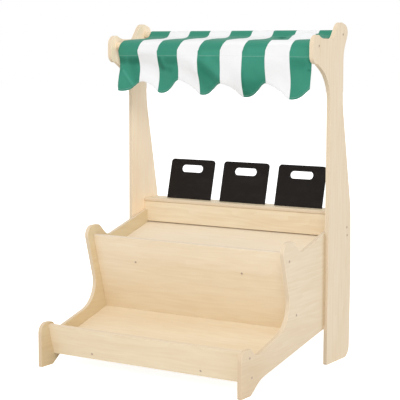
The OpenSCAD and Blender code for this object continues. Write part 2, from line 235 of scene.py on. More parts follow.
class StallWoodSettings(bpy.types.PropertyGroup):
    """Finish of the plywood and of the rods."""

    face_colour: FloatVectorProperty(
        name="Face colour", description="Colour of the outer veneer", default=FACE_COLOUR, **COLOUR,
    )
    side_colour: FloatVectorProperty(
        name="Side colour", description="Colour of the veneer on posts and side panels",
        default=(0.864, 0.718, 0.521), **COLOUR,
    )
    edge_colour: FloatVectorProperty(
        name="Edge colour", description="Colour of the plies at the cut edges", default=EDGE_COLOUR, **COLOUR,
    )
    ply_thickness: FloatProperty(
        name="Ply thickness", description="Thickness of one ply in the cut edges",
        min=0.0005, max=0.004, default=PLY, **LENGTH,
    )
    slope: FloatProperty(
        name="Slope of the bins", description="Slope of the goods bins, falling to the front",
        subtype="ANGLE", min=0.0, max=0.6, default=math.radians(16.0),
    )
    edge_round: FloatProperty(
        name="Edge rounding", description="Radius of the sanded edges of the boards",
        min=0.0002, max=0.004, default=0.0016, **LENGTH,
    )


class StallBoardSettings(bpy.types.PropertyGroup):
    """Finish of the blackboards."""

    paint_colour: FloatVectorProperty(
        name="Paint colour", description="Colour of the blackboard paint",
        default=(0.0075, 0.005, 0.004), **COLOUR,
    )
    edge_round: FloatProperty(
        name="Edge rounding", description="Radius of the blackboards' edges",
        min=0.0002, max=0.002, default=0.0009, **LENGTH,
    )


class StallCanopySettings(bpy.types.PropertyGroup):
    """Cut and colours of the cloth canopy."""

    green: FloatVectorProperty(
        name="Dark stripe", description="Colour of the dark stripes",
        default=(0.0275, 0.230, 0.151), **COLOUR,
    )
    white: FloatVectorProperty(
        name="Light stripe", description="Colour of the light stripes",
        default=(0.80, 0.80, 0.805), **COLOUR,
    )
    sleeve_run: FloatProperty(
        name="Sleeve run", description="Distance from the rear rod's axis to the front end of its sleeve",
        min=0.02, max=0.04, default=0.023, **LENGTH,
    )
    sleeve_drop: FloatProperty(
        name="Sleeve drop", description="Height of the rear rod's axis over the front end of its sleeve",
        min=0.0, max=0.025, default=0.006, **LENGTH,
    )
    seam_drop: FloatProperty(
        name="Seam drop", description="Distance along the cloth from the front rod to its sleeve's seam",
        min=0.02, max=0.08, default=0.040, **LENGTH,
    )
    cloth_thickness: FloatProperty(
        name="Cloth thickness", description="Thickness of the canvas",
        min=0.0003, max=0.003, default=0.0011, **LENGTH,
    )
    hem_width: FloatProperty(
        name="Hem width", description="Width of the stitched hem along the scallops",
        min=0.003, max=0.015, default=0.007, **LENGTH,
    )


class StallScrewSettings(bpy.types.PropertyGroup):
    """Heads of the screws that hold the boards."""

    diameter: FloatProperty(
        name="Head diameter", description="Diameter of a screw head",
        min=0.004, max=0.02, default=0.010, **LENGTH,
    )
    colour: FloatVectorProperty(
        name="Head colour", description="Colour of the screw heads", default=(0.60, 0.48, 0.37), **COLOUR,
    )


SETTINGS = {
    "stall_wood": StallWoodSettings,
    "stall_boards": StallBoardSettings,
    "stall_canopy": StallCanopySettings,
    "stall_screws": StallScrewSettings,
}


def grid_faces(index):
    """Four-sided faces between the rows and columns of a grid of vertex numbers."""
    return np.stack([index[:-1, :-1], index[:-1, 1:], index[1:, 1:], index[1:, :-1]], axis=-1).reshape(-1, 4)


def mesh_from_grid(name, points, uvs):
    """A mesh from a grid of points, rows by columns, with one face for each cell and UV maps by name."""
    index = np.arange(points.shape[0] * points.shape[1]).reshape(points.shape[:2])
    return mesh_from_faces(name, points.reshape(-1, 3), grid_faces(index), uvs)


def mesh_from_faces(name, verts, quads, uvs):
    """A mesh from vertices, four-sided faces and UV maps by name, written as whole arrays."""
    mesh = bpy.data.meshes.new(name)
    mesh.vertices.add(len(verts))
    mesh.vertices.foreach_set("co", verts.astype(np.float32).ravel())
    mesh.loops.add(quads.size)
    mesh.loops.foreach_set("vertex_index", quads.astype(np.int32).ravel())
    mesh.polygons.add(len(quads))
    mesh.polygons.foreach_set("loop_start", np.arange(0, quads.size, 4, dtype=np.int32))
    mesh.polygons.foreach_set("use_smooth", np.ones(len(quads), dtype=bool))
    for label, uv in uvs.items():
        layer = mesh.uv_layers.new(name=label)
        layer.data.foreach_set("uv", uv.reshape(-1, 2)[quads.ravel()].astype(np.float32).ravel())
    mesh.update(calc_edges=True)
    mesh.validate()
    return mesh


def add_piece(name, mesh, material):
    """Adds a mesh with its material as a piece that rides on the stall."""
    piece = bpy.data.objects.new(name, mesh)
    bpy.context.scene.collection.objects.link(piece)
    mesh.materials.append(material)
    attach(piece, BODY)
    return piece


def round_edges(piece, radius):
    """Welds a CAD node's loose triangles and rounds its sharp edges, without touching its mesh."""
    weld = piece.modifiers.new("Weld", "WELD")
    weld.merge_threshold = 1e-5
    bevel = piece.modifiers.new("Rounded edges", "BEVEL")
    bevel.width = radius
    bevel.segments = 3
    bevel.limit_method = "ANGLE"
    bevel.angle_limit = math.radians(40)
    bevel.miter_outer = "MITER_ARC"


def clear_nodes(tree):
    """Empties a node tree."""
    tree.nodes.clear()
    return tree


def link(tree, *pairs):
    """Links each pair of sockets."""
    for a, b in pairs:
        tree.links.new(a, b)


def node(tree, kind, **values):
    """Adds a shader node and sets its plain attributes."""
    made = tree.nodes.new("ShaderNode" + kind)
    for key, value in values.items():
        setattr(made, key, value)
    return made


def feed(tree, socket, value):
    """Gives an input a link from another socket, a number, or a colour of three."""
    if isinstance(value, bpy.types.NodeSocket):
        tree.links.new(value, socket)
    elif isinstance(value, (int, float)):
        socket.default_value = value
    else:
        socket.default_value = (*value, 1.0)


def set_inputs(made, values):
    """Sets a node's inputs, by their labels, to plain values."""
    for label, value in values.items():
        made.inputs[label].default_value = value


def maths(tree, operation, *values):
    """Adds a Math node and returns its output. The values are sockets or numbers."""
    made = node(tree, "Math", operation=operation)
    for socket, value in zip(made.inputs, values):
        feed(tree, socket, value)
    return made.outputs[0]


def total(tree, first, *others):
    """Sum of several values."""
    for value in others:
        first = maths(tree, "ADD", first, value)
    return first


def one_less(tree, value):
    """1 less a value."""
    return maths(tree, "SUBTRACT", 1.0, value)


def swing(tree, value, amount):
    """A value from 0 to 1 made into one that swings about 0, by half the amount each way."""
    return maths(tree, "MULTIPLY", maths(tree, "SUBTRACT", value, 0.5), amount)


def axes(tree, vector):
    """The X, Y and Z of a vector."""
    split = node(tree, "SeparateXYZ")
    link(tree, (vector, split.inputs[0]))
    return tuple(split.outputs)


def vector_of(tree, **parts):
    """A vector from sockets for some of its parts X, Y and Z. The rest are 0."""
    made = node(tree, "CombineXYZ")
    for label, socket in parts.items():
        link(tree, (socket, made.inputs[label]))
    return made.outputs[0]


def uv_axes(tree, name):
    """The U and V of a UV map."""
    return axes(tree, node(tree, "UVMap", uv_map=name).outputs[0])[:2]


def smooth_step(tree, value, low, high):
    """Output that goes smoothly from 0 at low to 1 at high."""
    made = node(tree, "MapRange", interpolation_type="SMOOTHSTEP")
    link(tree, (value, made.inputs["Value"]))
    set_inputs(made, {"From Min": low, "From Max": high})
    return made.outputs["Result"]


def noise(tree, vector, scale, detail=3.0, roughness=0.5):
    """Noise value from 0 to 1 over a vector. scale is one number, or one for each axis."""
    if isinstance(scale, tuple):
        vector, scale = stretched(tree, vector, scale), 1.0
    made = node(tree, "TexNoise", noise_dimensions="3D")
    link(tree, (vector, made.inputs["Vector"]))
    set_inputs(made, {"Scale": scale, "Detail": detail, "Roughness": roughness})
    return made.outputs["Fac"]


def stretched(tree, vector, scale):
    """The vector with each axis multiplied by its own scale."""
    made = node(tree, "VectorMath", operation="MULTIPLY")
    link(tree, (vector, made.inputs[0]))
    made.inputs[1].default_value = scale
    return made.outputs[0]


def moved_by(tree, vector, shift):
    """The sum of two vectors."""
    made = node(tree, "VectorMath", operation="ADD")
    link(tree, (vector, made.inputs[0]), (shift, made.inputs[1]))
    return made.outputs[0]


def mix_colour(tree, factor, a, b, blend="MIX"):
    """Mix of two colours. Factor, a and b are sockets or values."""
    made = node(tree, "Mix", data_type="RGBA", blend_type=blend)
    for number, value in ((0, factor), (6, a), (7, b)):
        feed(tree, made.inputs[number], value)
    return made.outputs[2]


def tinted(tree, factor, colour, factors):
    """A colour socket multiplied by factors of red, green and blue, as far as the mask factor says."""
    return mix_colour(tree, factor, colour, factors, "MULTIPLY")


def times(colour, factors):
    """A plain colour times one factor, or times one each for red, green and blue."""
    return [float(c) for c in np.multiply(colour, factors)]


def new_group(name, inputs, outputs):
    """An empty shader node group with named sockets, what comes in and where its results go."""
    tree = bpy.data.node_groups.new(name, "ShaderNodeTree")
    for label, kind, default in inputs:
        socket = tree.interface.new_socket(label, in_out="INPUT", socket_type="NodeSocket" + kind)
        if default is not None:
            socket.default_value = default
    for label, kind in outputs:
        tree.interface.new_socket(label, in_out="OUTPUT", socket_type="NodeSocket" + kind)
    return tree, tree.nodes.new("NodeGroupInput").outputs, tree.nodes.new("NodeGroupOutput").inputs


def place_group(tree, name, build):
    """Places the shader node group of a name, which build makes the first time."""
    group = node(tree, "Group")
    group.node_tree = bpy.data.node_groups.get(name) or build(name)
    return group


def plywood_group(name):
    """Group that draws plywood from board coordinates in metres: X along the grain, Z through the thickness.

    The face is a pale veneer: its colour varies with noises that are drawn out 5 to 44 times along the
    grain, and with the rings of a wave texture that the broadest of them bends. Where the depth from the
    middle is less than the board's half thickness the cut edge shows, whose plies alternate between light
    and dark by the sine of the depth over the ply thickness.
    """
    tree, given, result = new_group(
        name,
        [
            ("Board", "Vector", None), ("Face colour", "Color", (*FACE_COLOUR, 1)),
            ("Edge colour", "Color", (*EDGE_COLOUR, 1)), ("Half thickness", "Float", BOARD_HALF),
            ("Ply", "Float", PLY), ("Figure", "Float", 1.0), ("Lines", "Float", 1.0), ("Seed", "Float", 0.0),
        ],
        [("Colour", "Color"), ("Roughness", "Float"), ("Height", "Float")],
    )
    board = moved_by(tree, given["Board"], vector_of(tree, X=given["Seed"], Y=given["Seed"]))
    depth = axes(tree, given["Board"])[2]
    inside = maths(tree, "SUBTRACT", given["Half thickness"], maths(tree, "ABSOLUTE", depth))
    edge = smooth_step(tree, inside, 0.00035, 0.0009)

    broad = noise(tree, board, (1.6, 11.0, 1.0), 2.0)
    cloud = noise(tree, board, (9.0, 48.0, 6.0), 2.0)
    streak = noise(tree, board, (3.5, 95.0, 6.0), 4.0, 0.6)
    fine = noise(tree, board, (14.0, 620.0, 40.0), 3.0, 0.6)
    bend = vector_of(tree, Y=maths(tree, "MULTIPLY", broad, 0.16))
    rings = node(tree, "TexWave", wave_type="BANDS", bands_direction="Y", wave_profile="SAW")
    link(tree, (moved_by(tree, stretched(tree, board, (0.18, 1.0, 1.0)), bend), rings.inputs["Vector"]))
    set_inputs(rings, {"Scale": 14.0, "Distortion": 1.6, "Detail": 2.0, "Detail Scale": 3.0})

    lines = total(
        tree, swing(tree, streak, 0.13), swing(tree, fine, 0.08), swing(tree, rings.outputs["Fac"], 0.045),
    )
    lines = maths(tree, "MULTIPLY", lines, given["Lines"])
    tone = total(tree, swing(tree, broad, 0.12), lines, swing(tree, cloud, 0.085))
    tone = maths(tree, "MULTIPLY", tone, given["Figure"])
    tint = node(tree, "CombineColor")
    for socket, strength in zip(tint.inputs, (1.0, 1.7, 2.6)):
        link(tree, (maths(tree, "MULTIPLY_ADD", tone, strength, 1.0), socket))
    face = tinted(tree, 1.0, given["Face colour"], tint.outputs[0])

    layer = maths(tree, "DIVIDE", depth, given["Ply"])
    plies = smooth_step(tree, maths(tree, "SINE", maths(tree, "MULTIPLY", layer, math.pi)), -0.35, 0.35)
    dark_ply = tinted(tree, 1.0, given["Edge colour"], (0.86, 0.80, 0.74))
    light_ply = tinted(tree, 1.0, given["Edge colour"], (1.06, 1.07, 1.07))
    cut = mix_colour(tree, plies, dark_ply, light_ply)
    pores = maths(tree, "MULTIPLY", noise(tree, board, 900.0, 2.0), 0.12)
    cut = mix_colour(tree, pores, cut, (0.40, 0.27, 0.16))

    height = maths(tree, "MULTIPLY", maths(tree, "ADD", fine, streak), 0.5)
    rough = maths(tree, "MULTIPLY_ADD", edge, 0.18, maths(tree, "MULTIPLY_ADD", fine, 0.12, 0.42))
    link(
        tree, (mix_colour(tree, edge, face, cut), result["Colour"]), (rough, result["Roughness"]),
        (height, result["Height"]),
    )
    return tree


def shader_material(name):
    """A new material with an empty tree that holds only an output and a Principled BSDF."""
    material = bpy.data.materials.new(name)
    material.use_nodes = True
    tree = clear_nodes(material.node_tree)
    output = node(tree, "OutputMaterial")
    shader = node(tree, "BsdfPrincipled")
    link(tree, (shader.outputs[0], output.inputs[0]))
    return material, tree, shader


def bump(tree, shader, height, distance, strength=1.0):
    """Feeds a height into the shader's normal."""
    made = node(tree, "Bump")
    made.inputs["Strength"].default_value = strength
    made.inputs["Distance"].default_value = distance
    link(tree, (height, made.inputs["Height"]), (made.outputs[0], shader.inputs["Normal"]))


def painted_feet_shade(tree, place, colour):
    """Painted shade near the floor: darker, warmer wood, most at the front feet, less with height and to the
    back.
    """
    _, y, z = axes(tree, place)
    low = one_less(tree, smooth_step(tree, z, 0.09, 0.25))
    back = maths(tree, "MULTIPLY", smooth_step(tree, y, -0.34, -0.12), 0.5)
    return tinted(tree, maths(tree, "MULTIPLY", low, one_less(tree, back)), colour, FEET_SHADE)


def painted_inner_light(tree, place, colour, centre, factors):
    """The colour of a board, times the factors of painted light and shade on the side of its middle that
    faces the right.
    """
    inner = maths(tree, "GREATER_THAN", axes(tree, place)[0], centre[0])
    return mix_colour(tree, inner, colour, times(colour, factors))


def painted_rim_light(tree, place, colour, low, high):
    """Painted light: paler wood towards a board's upper edge, from height low to height high."""
    return tinted(tree, smooth_step(tree, axes(tree, place)[2], low, high), colour, RIM_LIGHT)


def joint_shade(tree, place, colour, on_post):
    """Painted shade in the corner between a side panel's outer face and the front edge of the post.

    On the panel it grows over the last stretch before the post. On the post it fades outwards from the
    panel's face, between the lower and the upper end of the corner.
    """
    x, y, z = axes(tree, place)
    aside = maths(tree, "ABSOLUTE", x)
    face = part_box("right_side_panel")[1].x
    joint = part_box("right_post")[1].y - JOINT_REACH
    if on_post:
        shade = smooth_step(tree, z, JOINT_LOW - 0.005, JOINT_LOW + 0.010)
        for fading in (
            smooth_step(tree, aside, face, face + POST_SHADE),
            smooth_step(tree, y, joint + 0.002, joint + 0.006),
            smooth_step(tree, z, JOINT_HIGH - 0.030, JOINT_HIGH),
        ):
            shade = maths(tree, "MULTIPLY", shade, one_less(tree, fading))
    else:
        outer = maths(tree, "GREATER_THAN", aside, face - 0.0008)
        shade = maths(tree, "MULTIPLY", smooth_step(tree, y, joint - PANEL_SHADE, joint), outer)
    return tinted(tree, shade, colour, CORNER_SHADE)


def plywood_material(board, face_colour, turn, seed, figure=1.0, lines=1.0):
    """Plywood whose board coordinates come from the Object ones, moved to the board's middle and turned.

    turn is the rotation, in radians about X, Y and Z, that lays the board flat with its grain along X.
    """
    wood = bpy.context.scene.stall_wood
    material, tree, shader = shader_material("Plywood " + board.replace("_", " "))
    centre = [float(c) for c in middle(board)]
    place = node(tree, "TexCoord").outputs["Object"]
    moved, turned = (node(tree, "Mapping", vector_type="POINT") for _ in range(2))
    moved.inputs["Location"].default_value = [-c for c in centre]
    turned.inputs["Rotation"].default_value = turn
    group = place_group(tree, "Plywood", plywood_group)
    set_inputs(group, {
        "Face colour": (*face_colour, 1.0), "Edge colour": (*wood.edge_colour, 1.0),
        "Ply": wood.ply_thickness, "Figure": figure, "Lines": lines, "Seed": seed,
    })
    link(
        tree, (place, moved.inputs[0]), (moved.outputs[0], turned.inputs[0]),
        (turned.outputs[0], group.inputs["Board"]), (group.outputs["Roughness"], shader.inputs["Roughness"]),
    )
    # Painted light and shade on the inner faces of the left boards
    if board in INNER_PAINTED_LIGHT:
        inner = painted_inner_light(tree, place, face_colour, centre, INNER_PAINTED_LIGHT[board])
        link(tree, (inner, group.inputs["Face colour"]))
    colour = group.outputs["Colour"]
    # Painted shade at the side panels' feet and in their corner with the posts, and painted light at the
    # riser's rim
    if board.endswith("side_panel"):
        colour = joint_shade(tree, place, painted_feet_shade(tree, place, colour), False)
    elif board.endswith("post"):
        colour = joint_shade(tree, place, colour, True)
    elif board == "riser":
        low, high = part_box(board)
        colour = painted_rim_light(tree, place, colour, low.z, high.z)
    link(tree, (colour, shader.inputs["Base Color"]))
    bump(tree, shader, group.outputs["Height"], 0.00025, 0.5)
    set_inputs(shader, {"Coat Weight": 0.12, "Coat Roughness": 0.35, "Specular IOR Level": 0.35})
    return material


def rod_material():
    """Turned hardwood: grain drawn out along X, without plies."""
    material, tree, shader = shader_material("Rod wood")
    grain = noise(tree, node(tree, "TexCoord").outputs["Object"], (5.0, 210.0, 210.0), 4.0, 0.6)
    face = times(bpy.context.scene.stall_wood.face_colour, 0.97)
    colour = mix_colour(tree, grain, times(face, 0.82), times(face, 1.1))
    link(tree, (colour, shader.inputs["Base Color"]))
    bump(tree, shader, grain, 0.0002, 0.5)
    set_inputs(shader, {"Roughness": 0.5})
    return material


def slate_material():
    """Matt blackboard paint with a faint cloud of wiped chalk and a fine tooth."""
    material, tree, shader = shader_material("Blackboard paint")
    place = node(tree, "TexCoord").outputs["Object"]
    cloud = noise(tree, place, (9.0, 9.0, 22.0), 4.0, 0.6)
    tooth = noise(tree, place, 1600.0, 2.0)
    dust = maths(tree, "MULTIPLY", smooth_step(tree, cloud, 0.45, 0.8), 0.03)
    colour = mix_colour(tree, dust, bpy.context.scene.stall_boards.paint_colour, (0.22, 0.21, 0.20))
    rough = maths(tree, "MULTIPLY_ADD", tooth, 0.2, 0.62)
    link(tree, (colour, shader.inputs["Base Color"]), (rough, shader.inputs["Roughness"]))
    bump(tree, shader, tooth, 0.0001, 0.35)
    set_inputs(shader, {"Specular IOR Level": 0.22})
    return material


def stitch_group(name):
    """Group that draws a row of stitches: Distance from the row and place Along it, both in metres.

    The thread shows where the distance is under half its width and the sine of the place along the row over
    the stitch length is over a limit. The height is the thread less a soft groove that the row pulls in.
    """
    tree, given, result = new_group(
        name,
        [
            ("Distance", "Float", 0.0), ("Along", "Float", 0.0), ("Stitch", "Float", 0.0036),
            ("Groove", "Float", 0.0022),
        ],
        [("Thread", "Float"), ("Height", "Float")],
    )
    away = maths(tree, "ABSOLUTE", given["Distance"])
    line = one_less(tree, smooth_step(tree, away, 0.00025, 0.0006))
    turns = maths(tree, "MULTIPLY", maths(tree, "DIVIDE", given["Along"], given["Stitch"]), 2 * math.pi)
    dash = smooth_step(tree, maths(tree, "SINE", turns), -0.75, -0.35)
    thread = maths(tree, "MULTIPLY", line, dash)
    groove = one_less(tree, smooth_step(tree, maths(tree, "DIVIDE", away, given["Groove"]), 0.0, 1.0))
    height = maths(tree, "SUBTRACT", maths(tree, "MULTIPLY", thread, 0.7), groove)
    link(tree, (thread, result["Thread"]), (height, result["Height"]))
    return tree


def stitches(tree, place, row, along):
    """Stitches where the socket place passes the distance row, as their thread mask and their height."""
    group = place_group(tree, "Stitches", stitch_group)
    distance = maths(tree, "SUBTRACT", place, row)
    link(tree, (distance, group.inputs["Distance"]), (along, group.inputs["Along"]))
    return group.outputs["Thread"], group.outputs["Height"]


def cloth_material(rear_seam):
    """Striped canvas: the stripe is the whole part of U, the weave two crossed sines of x and of V in metres.

    The UV map Cloth holds the stripe count across in U and the distance along the cloth from the front rod's
    axis in V. The UV map Hem holds x in U and the distance over the hem in V. The UV map Tone holds in U the
    painted light and shade of the folds, as a factor of the dark stripes' colour. rear_seam is the V of the
    rear sleeve's seam.
    """
    canopy = bpy.context.scene.stall_canopy
    material, tree, shader = shader_material("Striped canvas")
    across, along = uv_axes(tree, "Cloth")
    place, over_hem = uv_axes(tree, "Hem")
    flat = vector_of(tree, X=place, Y=along)
    fibres = noise(tree, flat, (1200.0, 1200.0, 1.0))
    slub = noise(tree, flat, (420.0, 60.0, 1.0))
    cloud = noise(tree, flat, (14.0, 11.0, 1.0))

    count = maths(tree, "ADD", across, swing(tree, noise(tree, flat, 1400.0, 1.0), 0.006))
    light = maths(tree, "GREATER_THAN", maths(tree, "MODULO", count, 2.0), 1.0)
    soft = smooth_step(tree, maths(tree, "PINGPONG", count, 1.0), 0.0, 0.010)
    green = dark_stripe(tree, canopy, along, over_hem, (fibres, slub, cloud))
    white = mix_colour(tree, slub, times(canopy.white, 0.975), canopy.white)
    soiled = times(canopy.white, (0.93, 0.92, 0.93))
    white = mix_colour(tree, maths(tree, "MULTIPLY", cloud, 0.10), white, soiled)
    colour = mix_colour(tree, maths(tree, "MULTIPLY", light, soft), green, white)

    front_thread, front_height = stitches(tree, along, canopy.seam_drop, place)
    rear_thread, rear_height = stitches(tree, along, rear_seam, place)
    low_thread, low_height = stitches(tree, over_hem, canopy.hem_width, place)
    thread = maths(tree, "MAXIMUM", front_thread, maths(tree, "MAXIMUM", rear_thread, low_thread))
    colour = mix_colour(tree, maths(tree, "MULTIPLY", thread, 0.40), colour, (0.70, 0.76, 0.74))
    double = one_less(tree, smooth_step(tree, over_hem, canopy.hem_width, canopy.hem_width + 0.0012))
    colour = tinted(tree, double, colour, (0.97, 0.97, 0.97))

    turn = 2 * math.pi / THREAD_PITCH
    warp, weft = (maths(tree, "SINE", maths(tree, "MULTIPLY", way, turn)) for way in (place, along))
    weave = maths(tree, "MULTIPLY_ADD", fibres, 0.5, maths(tree, "MULTIPLY", warp, weft))
    height = total(
        tree, maths(tree, "MULTIPLY", weave, 0.12), front_height, rear_height, low_height,
        maths(tree, "MULTIPLY", double, 0.8),
    )
    link(tree, (colour, shader.inputs["Base Color"]))
    bump(tree, shader, height, 0.0006, 0.6)
    set_inputs(shader, {
        "Roughness": 0.85, "Specular IOR Level": 0.2, "Sheen Weight": 0.12, "Sheen Roughness": 0.5,
    })
    return material


def dark_stripe(tree, canopy, along, over_hem, noises):
    """Dark stripes: uneven dye, pale fibres, a paler pressed seam, painted fold light and shade, a rubbed
    hem.
    """
    fibres, slub, cloud = noises
    green = mix_colour(tree, slub, times(canopy.green, 0.90), times(canopy.green, 1.10))
    green = mix_colour(tree, maths(tree, "MULTIPLY", fibres, 0.10), green, (0.22, 0.46, 0.37))
    green = mix_colour(tree, maths(tree, "MULTIPLY", cloud, 0.16), green, times(canopy.green, 0.70))
    from_seam = maths(tree, "ABSOLUTE", maths(tree, "SUBTRACT", along, canopy.seam_drop - 0.002))
    pressed = one_less(tree, smooth_step(tree, from_seam, 0.001, 0.008))
    seam_and_fold_shading = maths(tree, "MULTIPLY_ADD", pressed, 0.08, uv_axes(tree, "Tone")[0])
    # The painted fold shade darkens red most, and blue a little more than green
    fold_shading_factors = node(tree, "CombineColor")
    for socket, power in zip(fold_shading_factors.inputs, (2.0, 1.0, 1.15)):
        link(tree, (maths(tree, "POWER", seam_and_fold_shading, power), socket))
    green = tinted(tree, 1.0, green, fold_shading_factors.outputs[0])
    rubbed = one_less(tree, smooth_step(tree, over_hem, 0.0, 0.0022))
    return mix_colour(tree, maths(tree, "MULTIPLY", rubbed, 0.25), green, (0.36, 0.50, 0.44))


def screw_material():
    """Dull screw head, scratched by the driver, with painted shade in its recess.

    U of the UV map Head is the share of the head's radius.
    """
    metal = bpy.context.scene.stall_screws.colour
    material, tree, shader = shader_material("Screw head")
    scratches = noise(tree, node(tree, "TexCoord").outputs["Object"], 900.0)
    colour = mix_colour(tree, scratches, times(metal, 0.85), times(metal, 1.15))
    # Painted shade: the shallow recess inside the rim is painted dark, as if it were a deep hole
    rim = smooth_step(tree, uv_axes(tree, "Head")[0], 0.38, 0.46)
    colour = mix_colour(tree, rim, times(metal, 0.40), colour)
    link(tree, (colour, shader.inputs["Base Color"]))
    bump(tree, shader, scratches, 0.00008, 0.5)
    set_inputs(shader, {"Metallic": 0.3, "Roughness": 0.45})
    return material


def cubic(t, width, a, b, slope_a, slope_b):
    """Cubic from a to b, with the given slopes at its ends, at the share t of a stretch of a given width."""
    rise = b - a
    return a + t * (
        width * slope_a + t * (3 * rise - width * (2 * slope_a + slope_b)
        + t * (width * (slope_a + slope_b) - 2 * rise))
    )


def smooth_through(x, places, values):
    """Curve through [places, values], in cubics whose slope at each place is that of its two neighbours."""
    places, values = np.asarray(places, float), np.asarray(values, float)
    slopes = np.gradient(values, places)
    x = np.clip(x, places[0], places[-1])
    k = np.clip(np.searchsorted(places, x, side="right") - 1, 0, len(places) - 2)
    width = places[k + 1] - places[k]
    return cubic((x - places[k]) / width, width, values[k], values[k + 1], slopes[k], slopes[k + 1])


def bent_line(a, pull, b, t):
    """Quadratic curve that leaves a towards pull and reaches b from there, at the share t of the way."""
    return a * (1 - t) ** 2 + pull * 2 * t * (1 - t) + b * t ** 2


def touch_angle(centre, point, radius, side):
    """Angle on a circle where the line from a point outside touches it, on the side +1 or -1."""
    y, z = point - centre
    return math.atan2(z, y) + side * math.acos(radius / math.hypot(y, z))


def on_circle(centre, radius, angles):
    """Points [y, z] on a circle at the given angles."""
    return centre + radius * np.stack([np.cos(angles), np.sin(angles)], axis=1)


def between(a, b, count):
    """Evenly spaced points strictly between a and b."""
    return a + (b - a) * (np.arange(1, count + 1) / (count + 1))[:, None]


def profile_of_cloth():
    """Side view of the cloth as points [y, z], with the rows where the roof starts and where it hangs free.

    It starts with the turned-in end under the roof, goes under and round the rear rod and down the front of
    its sleeve, runs to the front rod in a gentle curve, turns over it and hangs down to the lowest hem.
    """
    canopy = bpy.context.scene.stall_canopy
    rear, front = middle("rear_rod")[1:], middle("front_rod")[1:]
    low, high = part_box("front_rod")
    radius = (high.z - low.z) / 2 + CLOTH_EASE
    sleeve = rear - np.array([canopy.sleeve_run, canopy.sleeve_drop])
    roof_y = np.linspace(ROOF[0][-1] - 0.010, ROOF[0][0], 44)
    roof = front + np.stack([roof_y, smooth_through(roof_y, *ROOF)], axis=1)
    ahead = (roof[0] - sleeve) / np.linalg.norm(roof[0] - sleeve)
    tuck = sleeve - np.array([ahead[1], -ahead[0]]) * TUCK_GAP
    start = tuck + ahead * TUCK_RUN
    lower_turn = touch_angle(rear, tuck, radius, 1) + 2 * math.pi
    upper_turn = touch_angle(rear, sleeve, radius, -1) + 2 * math.pi
    if upper_turn < lower_turn:
        upper_turn += 2 * math.pi
    wrap = on_circle(rear, radius, np.linspace(lower_turn, upper_turn, 44))
    toward_rod = (wrap[-1] - sleeve) / np.linalg.norm(wrap[-1] - sleeve)
    corner = bent_line(sleeve + toward_rod * SLEEVE_BEND, sleeve, roof[0], np.linspace(0, 1, 12)[:, None])
    nose = on_circle(front, radius, np.linspace(CREST_TURN, math.pi, 14))
    hang_z = front[1] - np.linspace(0, 0.2, HANG_ROWS + 1)[1:]
    hang = np.stack([np.full(HANG_ROWS, front[0] - radius), hang_z], axis=1)
    parts = [
        start[None], between(start, tuck, 6), tuck[None], between(tuck, wrap[0], 6), wrap,
        between(wrap[-1], corner[0], 5), corner, roof[1:], between(roof[-1], nose[0], 3), nose, hang,
    ]
    path = np.concatenate(parts)
    roof_from = sum(len(part) for part in parts[:6])
    return path, roof_from, len(path) - HANG_ROWS


def hem_height(x):
    """Height of the hem at x: lobes from notch to notch, lowest past their middle.

    They stand on a line that falls to the right. Between two notches the height over that line is the rise of
    the notches times a curve of the share of the way.
    """
    low = HEM_MIDDLE + HEM_SLOPE * x
    k = np.clip(np.searchsorted(NOTCHES, x, side="right") - 1, 0, len(NOTCHES) - 2)
    share = (x - NOTCHES[k]) / (NOTCHES[k + 1] - NOTCHES[k])
    rise = NOTCH_RISE[k] + (NOTCH_RISE[k + 1] - NOTCH_RISE[k]) * share
    return low + rise * smooth_through(share, *LOBE)


def soft_lines(u, drop, lines, power=2):
    """Sum over lines between points (u, drop) of strength times exp(-(distance / half width) ** power)."""
    across = CLOTH_WIDTH * u
    added = np.zeros(np.broadcast(u, drop).shape)
    for u_from, drop_from, u_to, drop_to, width, strength in lines:
        a = np.array([u_from * CLOTH_WIDTH, drop_from])
        along = np.array([u_to * CLOTH_WIDTH, drop_to]) - a
        share = np.clip(((across - a[0]) * along[0] + (drop - a[1]) * along[1]) / (along @ along), 0, 1)
        away = np.hypot(across - a[0] - share * along[0], drop - a[1] - share * along[1])
        added = added + strength * np.exp(-(away / width) ** power)
    return added


def fold_depth(u, drop):
    """How far the hanging cloth stands back: table FOLDS smoothed across and down, and the narrow creases."""
    last = len(FOLDS) - 1
    down = np.stack([smooth_through(drop[:, 0], FOLD_DROPS, row) for row in FOLDS])
    slopes = np.gradient(down, np.linspace(0, 1, last + 1), axis=0)
    k = np.clip((u[0] * last).astype(int), 0, last - 1)
    depth = cubic((u[0] * last - k)[:, None], 1 / last, down[k], down[k + 1], slopes[k], slopes[k + 1])
    return depth.T * 0.001 + soft_lines(u, drop, CREASES)


def roof_wave(u, before_rear, back):
    """Height that the roof gains or loses by its bulges and by a slow sine across it.

    A bulge is its height times exp(-across ** 2 - along ** 2), with both distances from its centre over its
    half widths. The sine fades towards both rods. before_rear is y less the rear rod's, and back the share of
    the way from the front rod to the rear one.
    """
    wave = -0.0012 * np.sin(9.3 * u + 1.0) * np.clip(np.sin(math.pi * back), 0, 1)
    for centre, before, half_across, half_along, height in BULGES:
        across, along = (u - centre) / half_across, (before_rear + before) / half_along
        wave = wave + height * np.exp(-across ** 2 - along ** 2)
    return wave


def length_along(points):
    """Distance from the first row along each column of a grid of points."""
    steps = np.linalg.norm(np.diff(points, axis=0), axis=-1)
    return np.concatenate([np.zeros((1, points.shape[1])), np.cumsum(steps, axis=0)])


